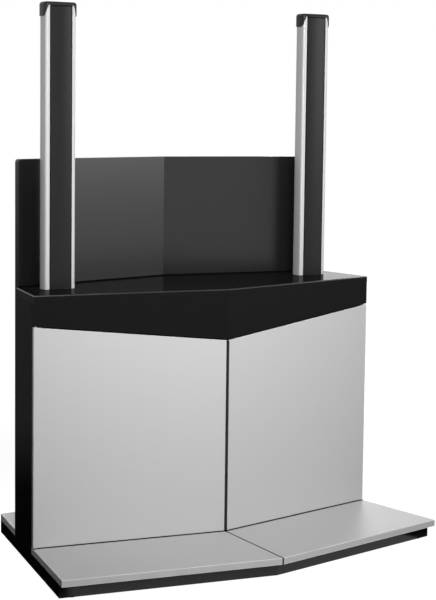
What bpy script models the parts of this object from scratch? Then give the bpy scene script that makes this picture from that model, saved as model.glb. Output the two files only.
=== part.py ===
"""Video conference cabinet: a V-fronted media cabinet on a plate base, with two display columns.

Metres, +Z up. The front looks along -Y, and the origin is the middle of the footprint, on the floor.
"""
from math import asin
from math import cos
from math import hypot
from math import pi
from math import radians
from math import sin
from math import sqrt

import bmesh
import bpy

# Clearance between pieces that touch, and how far a cutter runs past the face it cuts
GAP = 0.0003
OVERRUN = 0.005
TOLERANCE = 1e-6

# Plan: both halves of the front, and of the back, turn by the V angle
V_ANGLE = radians(10.0)
FRONT_HALF = 0.620
CARCASS_DEPTH = 0.4185
BASE_REACH = 0.324
BASE_REAR_MARGIN = 0.089

# Base
GLIDE_HEIGHT = 0.0012
GLIDE_RADIUS = 0.008
GLIDE_FROM_END = 0.040
RAIL_HEIGHT = 0.0402
RAIL_THICKNESS = 0.018
PLINTH_SETBACK = 0.030
PLATE_THICKNESS = 0.020
PLATE_SEAM = 0.003
PLATE_EASE = 0.0015

# Carcass boards
SIDE_THICKNESS = 0.019
BACK_THICKNESS = 0.019
TOP_THICKNESS = 0.019
FASCIA_THICKNESS = 0.019
PARTITION_THICKNESS = 0.019
FASCIA_END_HEIGHT = 0.072
BACK_RISE = 0.396
BACK_CORNER_RADIUS = 0.010
TOP_EDGE_RADIUS = 0.003
BOARD_EASE = 0.0008

# Cable slots in the back panels and the partition
BACK_SLOT_LENGTH = 0.150
BACK_SLOT_HEIGHT = 0.060
BACK_SLOT_FROM_MIDDLE = 0.200
BACK_SLOT_ABOVE_FLOOR = 0.080
GROMMET_WALL = 0.002
GROMMET_FLANGE = 0.006
GROMMET_FLANGE_THICKNESS = 0.002
PARTITION_SLOT_LENGTH = 0.120
PARTITION_SLOT_HEIGHT = 0.050
PARTITION_SLOT_FROM_BACK = 0.130
PARTITION_SLOT_ABOVE_FLOOR = 0.500

# Shelves
SHELF_THICKNESS = 0.019
SHELF_ABOVE_FLOOR = 0.330
SHELF_SETBACK = 0.030
SHELF_COLUMN_CLEARANCE = 0.010

# Doors
DOOR_THICKNESS = 0.019
DOOR_OUTER_HEIGHT = 0.6685
DOOR_INNER_HEIGHT = 0.603
DOOR_BOTTOM_GAP = 0.0025
DOOR_TOP_GAP = 0.004
DOOR_MIDDLE_GAP = 0.0045
DOOR_EASE = 0.001

# Door pivots: pins in the door's top and bottom edges, turning in nylon bushes
PIVOT_FROM_SIDE = 0.008
PIVOT_FROM_FRONT = 0.008
PIVOT_RADIUS = 0.003
PIVOT_DEPTH = 0.012
BUSH_WALL = 0.0017
BUSH_LENGTH = 0.012
BUSH_FLANGE = 0.002
SWING_CLEARANCE = 0.0004

# Push latches, door strikers and bumpers
LATCH_WIDTH = 0.016
LATCH_HEIGHT = 0.018
LATCH_LENGTH = 0.062
LATCH_CORNER = 0.003
LATCH_BELOW_DOOR_TOP = 0.032
LATCH_TRAVEL = 0.003
PLUNGER_RADIUS = 0.003
PLUNGER_TIP_RADIUS = 0.0045
PLUNGER_DOME_RADIUS = 0.006
PLUNGER_TIP_LENGTH = 0.005
PLUNGER_SHANK = 0.034
STRIKER_RADIUS = 0.009
STRIKER_THICKNESS = 0.0012
STRIKER_CHAMFER = 0.0004
BUMPER_RADIUS = 0.0032
BUMPER_THICKNESS = 0.0015
BUMPER_CHAMFER = 0.0006
BUMPER_FROM_EDGE = 0.0045
BUMPER_FROM_END = 0.060

# Display columns
COLUMN_WIDTH = 0.104
COLUMN_DEPTH = 0.0470
COLUMN_SIDE_RADIUS = 0.130
COLUMN_FRONT_CORNER = 0.008
COLUMN_REAR_CORNER = 0.010
COLUMN_WALL = 0.003
COLUMN_RISE = 0.874
COLUMN_FROM_SIDE = 0.116
COLUMN_FROM_BACK = 0.0854
COLUMN_CLEARANCE = 0.0005
COVER_WIDTH = 0.0741
COVER_DEPTH = 0.007
COVER_CROWN = 0.003
COVER_WALL = 0.002
CAP_WALL = 0.0027
CAP_TOP = 0.003
CAP_CROWN = 0.003
CAP_EDGE_RADIUS = 0.0065
CAP_FRONT_DROP = 0.011
CAP_REAR_DROP = 0.043
CAP_TONGUE_SWEEP = 0.015
CAP_REAR_CORNER = 0.006
FOOT_WIDTH = 0.132
FOOT_DEPTH = 0.086
FOOT_THICKNESS = 0.006
FOOT_CORNER = 0.008
SPIGOT_HEIGHT = 0.060
SPIGOT_CLEARANCE = 0.0005

# Heights and places that follow from the driving dimensions
RAIL_LOW = GLIDE_HEIGHT + GAP
RAIL_TOP = RAIL_LOW + RAIL_HEIGHT
PLATE_LOW = RAIL_TOP + GAP
FLOOR = PLATE_LOW + PLATE_THICKNESS
DOOR_LOW = FLOOR + DOOR_BOTTOM_GAP
TOP_LOW = DOOR_LOW + DOOR_OUTER_HEIGHT + DOOR_TOP_GAP + FASCIA_END_HEIGHT
TOP = TOP_LOW + TOP_THICKNESS
BACK_TOP = TOP + BACK_RISE
SUMMIT = TOP + COLUMN_RISE
FRONT_APEX = BASE_REACH / cos(V_ANGLE)
BACK_APEX = CARCASS_DEPTH + BACK_THICKNESS / cos(V_ANGLE) + BASE_REAR_MARGIN
DOOR_Y = (FRONT_APEX - BACK_APEX) / 2
FOLD_Y = DOOR_Y + CARCASS_DEPTH
REAR_Y = DOOR_Y + BACK_APEX
PIVOT_U = FRONT_HALF - PIVOT_FROM_SIDE
DOOR_SWEEP = PIVOT_FROM_FRONT + hypot(PIVOT_FROM_SIDE, DOOR_THICKNESS - PIVOT_FROM_FRONT)
CARCASS_FRONT = max(DOOR_SWEEP, FASCIA_THICKNESS) + SWING_CLEARANCE
PARTITION_FRONT = DOOR_THICKNESS + BUMPER_THICKNESS + 2 * GAP
SIDES = (("left", -1), ("right", 1))


# Lines in plan, for the right-hand half: (a, b, c) stands for a x + b y = c

def front(depth):
    """Line parallel to the right-hand door, at a depth behind the doors' front face."""
    return (-sin(V_ANGLE), cos(V_ANGLE), depth + DOOR_Y * cos(V_ANGLE))


def side(reach):
    """Line square to the right-hand door, at a reach from the middle along the door."""
    return (cos(V_ANGLE), sin(V_ANGLE), reach + DOOR_Y * sin(V_ANGLE))


def back(depth):
    """Line parallel to the right-hand back panel, at a depth behind its front face."""
    return (sin(V_ANGLE), cos(V_ANGLE), depth + FOLD_Y * cos(V_ANGLE))


def along(x):
    return (1.0, 0.0, x)


def across(y):
    return (0.0, 1.0, y)


def corner(first, second):
    """Point where two plan lines cross."""
    det = first[0] * second[1] - first[1] * second[0]
    x = (first[2] * second[1] - first[1] * second[2]) / det
    y = (first[0] * second[2] - first[2] * second[0]) / det
    return (x, y)


def corners(*lines):
    """Closed outline through the crossings of each line with the next one."""
    return [corner(a, b) for a, b in zip(lines, lines[1:] + lines[:1])]


def mirrored(outline, sign):
    return [(sign * x, y) for x, y in outline]


def whole(right_half):
    """Symmetric outline from its right-hand points, listed from the front to the back."""
    left_half = [(-x, y) for x, y in reversed(right_half) if abs(x) > TOLERANCE]
    return right_half + left_half


def arc(centre, radius, start, end, steps):
    """Points of an arc, with its end points."""
    angles = [start + (end - start) * i / steps for i in range(steps + 1)]
    return [(centre[0] + radius * cos(a), centre[1] + radius * sin(a)) for a in angles]


def circle(centre, radius, steps):
    return arc(centre, radius, 0.0, 2 * pi * (1 - 1 / steps), steps - 1)


def stadium(centre, length, height, steps):
    """Slot with round ends."""
    radius = height / 2
    half = length / 2 - radius
    right = arc((centre[0] + half, centre[1]), radius, -pi / 2, pi / 2, steps)
    left = arc((centre[0] - half, centre[1]), radius, pi / 2, 3 * pi / 2, steps)
    return right + left


def rounded_box(centre, width, depth, radius, steps):
    points = []
    for turn, (sx, sy) in enumerate(((1, 1), (-1, 1), (-1, -1), (1, -1))):
        hub = (centre[0] + sx * (width / 2 - radius), centre[1] + sy * (depth / 2 - radius))
        points += arc(hub, radius, turn * pi / 2, (turn + 1) * pi / 2, steps)
    return points


# Solids

def loft(*rings):
    """Closed solid through rings that have as many points, capped at both ends."""
    bm = bmesh.new()
    loops = [[bm.verts.new(point) for point in ring] for ring in rings]
    for low, high in zip(loops, loops[1:]):
        for i in range(len(low)):
            j = (i + 1) % len(low)
            bm.faces.new((low[i], low[j], high[j], high[i]))
    bm.faces.new(loops[0])
    bm.faces.new(loops[-1])
    bmesh.ops.recalc_face_normals(bm, faces=bm.faces)
    return bm


def slab(outline, low, high):
    """Prism over a plan outline."""
    return loft([(x, y, low) for x, y in outline], [(x, y, high) for x, y in outline])


def upright(outline, near, far):
    """Prism along Y over an outline in X and Z."""
    return loft([(x, near, z) for x, z in outline], [(x, far, z) for x, z in outline])


def beam(outline, near, far):
    """Prism along X over an outline in Y and Z."""
    return loft([(near, y, z) for y, z in outline], [(far, y, z) for y, z in outline])


def turned(profile, steps, place):
    """Solid of revolution from (radius, height) points that start and end on the axis."""
    bm = bmesh.new()
    rings = []
    for radius, height in profile:
        count = steps if radius > 0 else 1
        ring = circle((0.0, 0.0), radius, count) if radius > 0 else [(0.0, 0.0)]
        rings.append([bm.verts.new(place(x, y, height)) for x, y in ring])
    for low, high in zip(rings, rings[1:]):
        for i in range(steps):
            j = (i + 1) % steps
            quad = (low[i % len(low)], low[j % len(low)], high[j % len(high)], high[i % len(high)])
            bm.faces.new(list(dict.fromkeys(quad)))
    bmesh.ops.recalc_face_normals(bm, faces=bm.faces)
    return bm


def joined(*solids):
    """One mesh for several cutters."""
    bm = bmesh.new()
    for solid in solids:
        scratch = bpy.data.meshes.new("scratch")
        solid.to_mesh(scratch)
        solid.free()
        bm.from_mesh(scratch)
        bpy.data.meshes.remove(scratch)
    return bm


def ease(bm, radius, steps, chosen=None):
    """Round the edges that the test picks, by their two end points."""
    edges = [e for e in bm.edges if chosen is None or chosen(e.verts[0].co, e.verts[1].co)]
    bmesh.ops.bevel(bm, geom=edges, offset=radius, segments=steps, profile=0.5, affect="EDGES",
                    clamp_overlap=True)
    bmesh.ops.recalc_face_normals(bm, faces=bm.faces)
    return bm


# Objects

def finish(name, colour, roughness, metallic):
    material = bpy.data.materials.new(name)
    material.use_nodes = True
    shader = material.node_tree.nodes["Principled BSDF"]
    shader.inputs["Base Color"].default_value = (*colour, 1.0)
    shader.inputs["Roughness"].default_value = roughness
    shader.inputs["Metallic"].default_value = metallic
    return material


def empty(name, place, turn, parent=None):
    frame = bpy.data.objects.new(name, None)
    frame.location = place
    frame.rotation_euler = (0.0, 0.0, turn)
    frame.parent = parent
    bpy.context.scene.collection.objects.link(frame)
    return frame


def add(name, bm, look, parent=None, smooth=False):
    mesh = bpy.data.meshes.new(name)
    bm.to_mesh(mesh)
    bm.free()
    mesh.materials.append(finish(name, *look))
    if smooth:
        mesh.shade_smooth()
        mesh.set_sharp_from_angle(angle=radians(32.0))
    piece = bpy.data.objects.new(name, mesh)
    piece.parent = parent
    bpy.context.scene.collection.objects.link(piece)
    return piece


def combine(piece, bm, operation="DIFFERENCE"):
    """Boolean with a hidden helper solid, given in the piece's own frame."""
    mesh = bpy.data.meshes.new(piece.name + "_cut")
    bm.to_mesh(mesh)
    bm.free()
    helper = bpy.data.objects.new(piece.name + "_cut", mesh)
    helper.parent = piece.parent
    helper.hide_render = True
    helper.display_type = "WIRE"
    bpy.context.scene.collection.objects.link(helper)
    modifier = piece.modifiers.new("combine", "BOOLEAN")
    modifier.operation = operation
    modifier.solver = "EXACT"
    modifier.object = helper


SILVER_LACQUER = ((0.50, 0.50, 0.51), 0.38, 0.25)
BLACK_LACQUER = ((0.011, 0.011, 0.012), 0.22, 0.0)
BLACK_BOARD = ((0.014, 0.014, 0.015), 0.45, 0.0)
BLACK_PLINTH = ((0.018, 0.018, 0.019), 0.50, 0.0)
ALUMINIUM = ((0.72, 0.72, 0.73), 0.30, 1.0)
BLACK_PLASTIC = ((0.030, 0.030, 0.031), 0.38, 0.0)
ZINC = ((0.60, 0.60, 0.62), 0.35, 1.0)
STEEL = ((0.55, 0.55, 0.56), 0.30, 1.0)
NYLON = ((0.62, 0.61, 0.58), 0.45, 0.0)
DARK_NYLON = ((0.05, 0.05, 0.05), 0.50, 0.0)
RUBBER = ((0.03, 0.03, 0.03), 0.75, 0.0)


# Base: a black plinth of rails on glides, with the base plates on it

def plinth():
    rail = RAIL_THICKNESS
    nose = PLINTH_SETBACK - BASE_REACH
    inner = side(FRONT_HALF - rail - GAP)
    seam = CARCASS_FRONT - rail / 2
    bearer = -rail / 2
    for label, sign in SIDES:
        pieces = {
            "plinth_front": corners(front(nose), side(FRONT_HALF), front(nose + rail), along(GAP / 2)),
            "plinth_side": corners(front(nose + rail + GAP), side(FRONT_HALF),
                                   across(REAR_Y - rail - GAP), side(FRONT_HALF - rail)),
            "plinth_cross_front": corners(front(seam), inner, front(seam + rail), along(rail / 2 + GAP)),
            "plinth_cross_back": corners(back(bearer), inner, back(bearer + rail), along(rail / 2 + GAP)),
        }
        for name, outline in pieces.items():
            bm = slab(mirrored(outline, sign), RAIL_LOW, RAIL_TOP)
            add(name + "_" + label, bm, BLACK_PLINTH)
    rear = corners(across(REAR_Y - rail), side(FRONT_HALF), across(REAR_Y), along(0.0))
    add("plinth_back", slab(whole([rear[3], rear[0], rear[1], rear[2]]), RAIL_LOW, RAIL_TOP), BLACK_PLINTH)
    head = corner(front(nose + rail + GAP), along(rail / 2))
    tail = corner(across(REAR_Y - rail - GAP), along(rail / 2))
    tip = corner(front(nose + rail + GAP), along(0.0))
    spine = whole([tip, head, tail])
    add("plinth_spine", slab(spine, RAIL_LOW, RAIL_TOP), BLACK_PLINTH)


def floor_glides():
    middle = RAIL_THICKNESS / 2
    nose = PLINTH_SETBACK - BASE_REACH + middle
    rear = across(REAR_Y - middle)
    end = side(FRONT_HALF - GLIDE_FROM_END)
    tip = corner(front(nose), along(0.0))
    spots = {"front_middle": (0.0, tip[1] + GLIDE_FROM_END), "back_middle": corner(rear, along(0.0))}
    for label, sign in SIDES:
        ends = mirrored([corner(front(nose), end), corner(rear, end)], sign)
        spots["front_" + label] = ends[0]
        spots["back_" + label] = ends[1]
    for place, spot in spots.items():
        disc = slab(circle(spot, GLIDE_RADIUS, 16), 0.0, GLIDE_HEIGHT)
        add("floor_glide_" + place, disc, DARK_NYLON, smooth=True)


def top_edges(level):
    """Test for the upper edges of a slab."""
    return lambda a, b: min(a.z, b.z) > level - TOLERANCE


def base_plates():
    for label, sign in SIDES:
        outline = corners(front(-BASE_REACH), side(FRONT_HALF), front(CARCASS_FRONT - GAP),
                          along(PLATE_SEAM / 2))
        bm = ease(slab(mirrored(outline, sign), PLATE_LOW, FLOOR), PLATE_EASE, 2, top_edges(FLOOR))
        plate = add("base_plate_front_" + label, bm, SILVER_LACQUER)
        hole = mirrored([corner(side(PIVOT_U), front(PIVOT_FROM_FRONT))], sign)[0]
        bore = PIVOT_RADIUS + BUSH_WALL + 2 * GAP
        combine(plate, slab(circle(hole, bore, 24), PLATE_LOW - OVERRUN, FLOOR + OVERRUN))
    behind = back(BACK_THICKNESS + GAP)
    half = corners(behind, side(FRONT_HALF), across(REAR_Y), along(0.0))
    outline = whole([half[3], half[0], half[1], half[2]])
    bm = ease(slab(outline, PLATE_LOW, FLOOR), PLATE_EASE, 2, top_edges(FLOOR))
    add("base_plate_rear", bm, SILVER_LACQUER)


# Carcass: floor, sides, back, partition, fascia and top

def carcass_floor():
    half = corners(front(CARCASS_FRONT), side(FRONT_HALF - SIDE_THICKNESS - GAP), back(-GAP), along(0.0))
    outline = whole([half[3], half[0], half[1], half[2]])
    add("carcass_floor", slab(outline, PLATE_LOW, FLOOR), BLACK_BOARD)


def side_panels():
    for label, sign in SIDES:
        outline = corners(front(CARCASS_FRONT), side(FRONT_HALF), back(-GAP),
                          side(FRONT_HALF - SIDE_THICKNESS))
        bm = slab(mirrored(outline, sign), PLATE_LOW, TOP_LOW - GAP)
        add("side_panel_" + label, ease(bm, BOARD_EASE, 1), BLACK_LACQUER)


def partition():
    half = PARTITION_THICKNESS / 2
    right = [corner(front(PARTITION_FRONT), along(0.0)), corner(front(PARTITION_FRONT), along(half)),
             corner(back(-GAP), along(half)), corner(back(-GAP), along(0.0))]
    board = add("partition", slab(whole(right), FLOOR + GAP, TOP_LOW - GAP), BLACK_BOARD)
    centre = (FOLD_Y - PARTITION_SLOT_FROM_BACK, FLOOR + PARTITION_SLOT_ABOVE_FLOOR)
    slot = stadium(centre, PARTITION_SLOT_LENGTH, PARTITION_SLOT_HEIGHT, 8)
    combine(board, beam(slot, -PARTITION_THICKNESS, PARTITION_THICKNESS))


def door_top(reach):
    """Height of the doors' sloped top edge at a reach from the middle."""
    rise = (DOOR_OUTER_HEIGHT - DOOR_INNER_HEIGHT) / FRONT_HALF
    return DOOR_LOW + DOOR_INNER_HEIGHT + rise * reach


def fascias(frames):
    for label, sign in SIDES:
        rings = []
        for depth in (0.0, FASCIA_THICKNESS):
            mitre = (GAP / 2 + depth * sin(V_ANGLE)) / cos(V_ANGLE)
            outline = [(mitre, door_top(mitre) + DOOR_TOP_GAP),
                       (FRONT_HALF, door_top(FRONT_HALF) + DOOR_TOP_GAP),
                       (FRONT_HALF, TOP_LOW - GAP), (mitre, TOP_LOW - GAP)]
            rings.append([(sign * u, depth, z) for u, z in outline])
        board = add("fascia_" + label, loft(*rings), BLACK_LACQUER, frames["front", label])
        bore = PIVOT_RADIUS + BUSH_WALL + 2 * GAP
        low = door_top(PIVOT_U)
        ring = circle((sign * PIVOT_U, PIVOT_FROM_FRONT), bore, 24)
        combine(board, slab(ring, low, low + DOOR_TOP_GAP + BUSH_LENGTH + 2 * GAP))


def back_end():
    """Length of a back panel along its front face: its rear edge is flush with the side."""
    x, y = corner(side(FRONT_HALF), back(BACK_THICKNESS))
    return x * cos(V_ANGLE) - (y - FOLD_Y) * sin(V_ANGLE)


def back_slot_centre():
    return (BACK_SLOT_FROM_MIDDLE, FLOOR + BACK_SLOT_ABOVE_FLOOR)


def back_panels(frames):
    end = back_end()
    radius = BACK_CORNER_RADIUS
    for label, sign in SIDES:
        rings = []
        for depth in (0.0, BACK_THICKNESS):
            mitre = (GAP / 2 - depth * sin(V_ANGLE)) / cos(V_ANGLE)
            outline = [(mitre, PLATE_LOW), (end, PLATE_LOW)]
            outline += arc((end - radius, BACK_TOP - radius), radius, 0.0, pi / 2, 5)
            outline.append((mitre, BACK_TOP))
            rings.append([(sign * w, depth, z) for w, z in outline])
        board = add("back_panel_" + label, loft(*rings), BLACK_LACQUER, frames["back", label])
        slot = stadium(back_slot_centre(), BACK_SLOT_LENGTH, BACK_SLOT_HEIGHT, 8)
        combine(board, upright(mirrored(slot, sign), -BACK_THICKNESS, 2 * BACK_THICKNESS))


def cable_grommets(frames):
    """Plastic lining of each back slot: a sleeve through the board and a flange behind it."""
    sleeve_length = BACK_SLOT_LENGTH - 2 * GAP
    sleeve_height = BACK_SLOT_HEIGHT - 2 * GAP
    flange = (BACK_SLOT_LENGTH + 2 * GROMMET_FLANGE, BACK_SLOT_HEIGHT + 2 * GROMMET_FLANGE)
    seat = BACK_THICKNESS + GAP
    rear = seat + GROMMET_FLANGE_THICKNESS
    bore = (sleeve_length - 2 * GROMMET_WALL, sleeve_height - 2 * GROMMET_WALL)
    for label, sign in SIDES:
        centre = mirrored([back_slot_centre()], sign)[0]
        bm = upright(stadium(centre, *flange, 8), seat, rear)
        piece = add("cable_grommet_" + label, bm, BLACK_PLASTIC, frames["back", label], smooth=True)
        combine(piece, upright(stadium(centre, sleeve_length, sleeve_height, 8), 0.0, rear - GAP), "UNION")
        combine(piece, upright(stadium(centre, *bore, 8), -BACK_THICKNESS, rear + BACK_THICKNESS))


def top_board():
    half = corners(front(0.0), side(FRONT_HALF), back(-GAP), along(0.0))
    outline = whole([half[3], half[0], half[1], half[2]])
    fold = back(0.0)

    def outer(a, b):
        middle = (a + b) / 2
        depth = fold[0] * abs(middle.x) + fold[1] * middle.y - fold[2]
        return min(a.z, b.z) > TOP - TOLERANCE and depth < -2 * GAP

    bm = ease(slab(outline, TOP_LOW, TOP), TOP_EDGE_RADIUS, 4, outer)
    board = add("top_board", bm, BLACK_LACQUER, smooth=True)
    holes = []
    for label, sign in SIDES:
        ring = column_outline(sign, COLUMN_CLEARANCE)
        holes.append(slab(ring, TOP_LOW - TOP_THICKNESS, TOP + TOP_THICKNESS))
    combine(board, joined(*holes))


# Fixed shelves between the partition and the sides, notched round the columns

def shelves():
    x, y = column_centre(1)
    notch_x = along(x - COLUMN_WIDTH / 2 - SHELF_COLUMN_CLEARANCE)
    notch_y = across(y - COLUMN_DEPTH / 2 - SHELF_COLUMN_CLEARANCE)
    outline = corners(front(CARCASS_FRONT + SHELF_SETBACK), side(FRONT_HALF - SIDE_THICKNESS - GAP),
                      notch_y, notch_x, back(-GAP), along(PARTITION_THICKNESS / 2 + GAP))
    low = FLOOR + SHELF_ABOVE_FLOOR
    for label, sign in SIDES:
        bm = slab(mirrored(outline, sign), low, low + SHELF_THICKNESS)
        add("shelf_" + label, ease(bm, BOARD_EASE, 1), BLACK_BOARD)


# Doors with their pivots, strikers and bumpers, and the latches that hold them

def doors(pivots):
    for label, sign in SIDES:
        frame = pivots[label]
        outline = [(DOOR_MIDDLE_GAP, DOOR_LOW), (FRONT_HALF, DOOR_LOW),
                   (FRONT_HALF, door_top(FRONT_HALF)), (DOOR_MIDDLE_GAP, door_top(DOOR_MIDDLE_GAP))]
        ring = [(sign * (u - PIVOT_U), z) for u, z in outline]
        bm = upright(ring, -PIVOT_FROM_FRONT, DOOR_THICKNESS - PIVOT_FROM_FRONT)
        door = add("door_" + label, ease(bm, DOOR_EASE, 2), SILVER_LACQUER, frame)
        hole = circle((0.0, 0.0), PIVOT_RADIUS + GAP, 20)
        crown = door_top(PIVOT_U)
        socket = slab(hole, DOOR_LOW - PIVOT_DEPTH, DOOR_LOW + PIVOT_DEPTH + GAP)
        combine(door, joined(socket, slab(hole, crown - PIVOT_DEPTH - GAP, crown + PIVOT_DEPTH)))
        pin = circle((0.0, 0.0), PIVOT_RADIUS, 20)
        foot = slab(pin, PLATE_LOW, DOOR_LOW + PIVOT_DEPTH)
        head = slab(pin, crown - PIVOT_DEPTH, crown + DOOR_TOP_GAP + BUSH_LENGTH - GAP)
        add("pivot_pin_bottom_" + label, foot, STEEL, frame, smooth=True)
        add("pivot_pin_top_" + label, head, STEEL, frame, smooth=True)
        door_fittings(label, sign, frame)


def door_fittings(label, sign, frame):
    """Striker plate and rubber bumper on the back of a door."""
    seat = DOOR_THICKNESS + GAP

    def stud(radius, thickness, chamfer, reach, level):
        spot = (sign * (reach - PIVOT_U), seat - PIVOT_FROM_FRONT, level)
        profile = [(0.0, 0.0), (radius, 0.0), (radius, thickness - chamfer),
                   (radius - chamfer, thickness), (0.0, thickness)]
        return turned(profile, 16, lambda x, y, h: (spot[0] + x, spot[1] + h, spot[2] + y))

    reach = latch_reach()
    striker = stud(STRIKER_RADIUS, STRIKER_THICKNESS, STRIKER_CHAMFER, reach, latch_height())
    add("door_striker_" + label, striker, ZINC, frame)
    edge = DOOR_MIDDLE_GAP + BUMPER_FROM_EDGE
    level = DOOR_LOW + BUMPER_FROM_END
    bumper = stud(BUMPER_RADIUS, BUMPER_THICKNESS, BUMPER_CHAMFER, edge, level)
    add("door_bumper_" + label, bumper, RUBBER, frame)


def pivot_bushes(frames):
    bore = PIVOT_RADIUS + GAP
    barrel = bore + BUSH_WALL
    for label, sign in SIDES:
        frame = frames["front", label]
        spot = (sign * PIVOT_U, PIVOT_FROM_FRONT)
        low = door_top(PIVOT_U) + DOOR_TOP_GAP + GAP
        slope = barrel * (DOOR_OUTER_HEIGHT - DOOR_INNER_HEIGHT) / FRONT_HALF
        top = add("pivot_bush_top_" + label, slab(circle(spot, barrel, 24), low + slope, low + BUSH_LENGTH),
                  NYLON, frame, smooth=True)
        combine(top, slab(circle(spot, bore, 24), low - BUSH_LENGTH, low + 2 * BUSH_LENGTH))
        flange = slab(circle(spot, barrel + BUSH_FLANGE, 24), FLOOR + GAP, DOOR_LOW - GAP)
        bottom = add("pivot_bush_bottom_" + label, flange, NYLON, frame, smooth=True)
        combine(bottom, slab(circle(spot, barrel, 24), PLATE_LOW, DOOR_LOW - 2 * GAP), "UNION")
        combine(bottom, slab(circle(spot, bore, 24), PLATE_LOW - BUSH_LENGTH, DOOR_LOW + BUSH_LENGTH))


def latch_x():
    return PARTITION_THICKNESS / 2 + GAP + LATCH_WIDTH / 2


def latch_height():
    return door_top(0.0) - LATCH_BELOW_DOOR_TOP


def latch_reach():
    """Reach along the door of the point in front of the plunger."""
    x, y = corner(front(DOOR_THICKNESS), along(latch_x()))
    return x * cos(V_ANGLE) + (y - DOOR_Y) * sin(V_ANGLE)


def dome_centre():
    """Centre of the plunger's domed tip: it clears the striker when the door is shut."""
    clear = front(DOOR_THICKNESS + 2 * GAP + STRIKER_THICKNESS + PLUNGER_DOME_RADIUS)
    return corner(clear, along(latch_x()))


def latches():
    x, y = dome_centre()
    level = latch_height()
    nose = y + PLUNGER_TIP_LENGTH + LATCH_TRAVEL + 2 * PLUNGER_RADIUS - PLUNGER_DOME_RADIUS
    edge = asin(PLUNGER_TIP_RADIUS / PLUNGER_DOME_RADIUS)
    dome = arc((0.0, 0.0), PLUNGER_DOME_RADIUS, 0.0, edge, 4)
    tip_end = PLUNGER_TIP_LENGTH - PLUNGER_DOME_RADIUS
    profile = [(0.0, -PLUNGER_DOME_RADIUS)]
    profile += [(r, -h) for h, r in dome[1:]]
    profile += [(PLUNGER_TIP_RADIUS, tip_end), (PLUNGER_RADIUS, tip_end), (PLUNGER_RADIUS, PLUNGER_SHANK)]
    profile += [(0.0, PLUNGER_SHANK)]
    for label, sign in SIDES:
        box = rounded_box((sign * x, level), LATCH_WIDTH, LATCH_HEIGHT, LATCH_CORNER, 3)
        bm = upright(box, nose, nose + LATCH_LENGTH)
        housing = add("latch_housing_" + label, bm, BLACK_PLASTIC, smooth=True)
        bore = circle((sign * x, level), PLUNGER_RADIUS + GAP, 16)
        reach = y + PLUNGER_SHANK + LATCH_TRAVEL + GAP
        combine(housing, upright(bore, nose - LATCH_TRAVEL, reach))
        rod = empty("plunger_axis_" + label, (sign * x, y, level), 0.0)
        tip = turned(profile, 16, lambda a, b, h: (a, h, b))
        add("latch_plunger_" + label, tip, DARK_NYLON, rod, smooth=True)


# Display columns: aluminium extrusion, snap-in front cover, cap and foot

def column_centre(sign):
    x, y = corner(side(FRONT_HALF - COLUMN_FROM_SIDE), back(-COLUMN_FROM_BACK))
    return (sign * x, y)


def column_half(grow):
    """Right half of the column's outline about its centre, front to back, grown by an offset."""
    half_depth = COLUMN_DEPTH / 2
    hub = COLUMN_WIDTH / 2 - COLUMN_SIDE_RADIUS
    front_turn = asin((half_depth - COLUMN_FRONT_CORNER) / (COLUMN_SIDE_RADIUS - COLUMN_FRONT_CORNER))
    rear_turn = asin((half_depth - COLUMN_REAR_CORNER) / (COLUMN_SIDE_RADIUS - COLUMN_REAR_CORNER))
    front_x = hub + (COLUMN_SIDE_RADIUS - COLUMN_FRONT_CORNER) * cos(front_turn)
    rear_x = hub + (COLUMN_SIDE_RADIUS - COLUMN_REAR_CORNER) * cos(rear_turn)
    front_hub = (front_x, COLUMN_FRONT_CORNER - half_depth)
    rear_hub = (rear_x, half_depth - COLUMN_REAR_CORNER)
    points = arc(front_hub, COLUMN_FRONT_CORNER + grow, -pi / 2, -front_turn, 4)
    points += arc((hub, 0.0), COLUMN_SIDE_RADIUS + grow, -front_turn, rear_turn, 6)[1:]
    points += arc(rear_hub, COLUMN_REAR_CORNER + grow, rear_turn, pi / 2, 5)[1:]
    return points


def about(centre, right_half):
    """Whole outline about a centre from its right half."""
    return [(centre[0] + x, centre[1] + y) for x, y in whole(right_half)]


def column_outline(sign, grow):
    return about(column_centre(sign), column_half(grow))


def column_chamber(inset):
    """Right half of the hollow inside the extrusion, behind the web that carries the cover."""
    web = COVER_DEPTH + GAP + COLUMN_WALL + inset - COLUMN_DEPTH / 2
    inner = column_half(-COLUMN_WALL - inset)
    hub = COLUMN_WIDTH / 2 - COLUMN_SIDE_RADIUS
    reach = COLUMN_SIDE_RADIUS - COLUMN_WALL - inset
    return [(hub + sqrt(reach * reach - web * web), web)] + [p for p in inner if p[1] > web + GAP]


def columns():
    foot_top = FLOOR + GAP + FOOT_THICKNESS
    recess = COVER_WIDTH / 2 + GAP
    front_y = -COLUMN_DEPTH / 2
    for label, sign in SIDES:
        centre = column_centre(sign)
        shell = [(recess, front_y + COVER_DEPTH + GAP), (recess, front_y)] + column_half(0.0)
        bm = slab(about(centre, shell), foot_top + GAP, SUMMIT - CAP_TOP - GAP)
        column = add("column_" + label, bm, ALUMINIUM, smooth=True)
        combine(column, slab(about(centre, column_chamber(0.0)), FLOOR, SUMMIT + CAP_TOP))
        column_cover(label, centre)
        column_cap(label, centre)
        column_foot(label, centre)


def crowned(half, level, crown, steps):
    """Right half of a face that bulges to the front by a crown, from its middle to its end."""
    radius = (half * half + crown * crown) / (2 * crown)
    return arc((0.0, level + radius - crown), radius, -pi / 2, asin(half / radius) - pi / 2, steps)


def column_cover(label, centre):
    """Crowned channel that snaps into the front of the extrusion."""
    half = COVER_WIDTH / 2
    inside = half - COVER_WALL
    front_y = -COLUMN_DEPTH / 2
    outline = crowned(half, front_y, COVER_CROWN, 6)
    outline += [(half, front_y + COVER_DEPTH), (inside, front_y + COVER_DEPTH)]
    outline.append((inside, front_y + COVER_WALL))
    bm = slab(about(centre, outline), TOP + COLUMN_CLEARANCE, SUMMIT - CAP_TOP - GAP)
    add("column_cover_" + label, bm, BLACK_PLASTIC, smooth=True)


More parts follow.
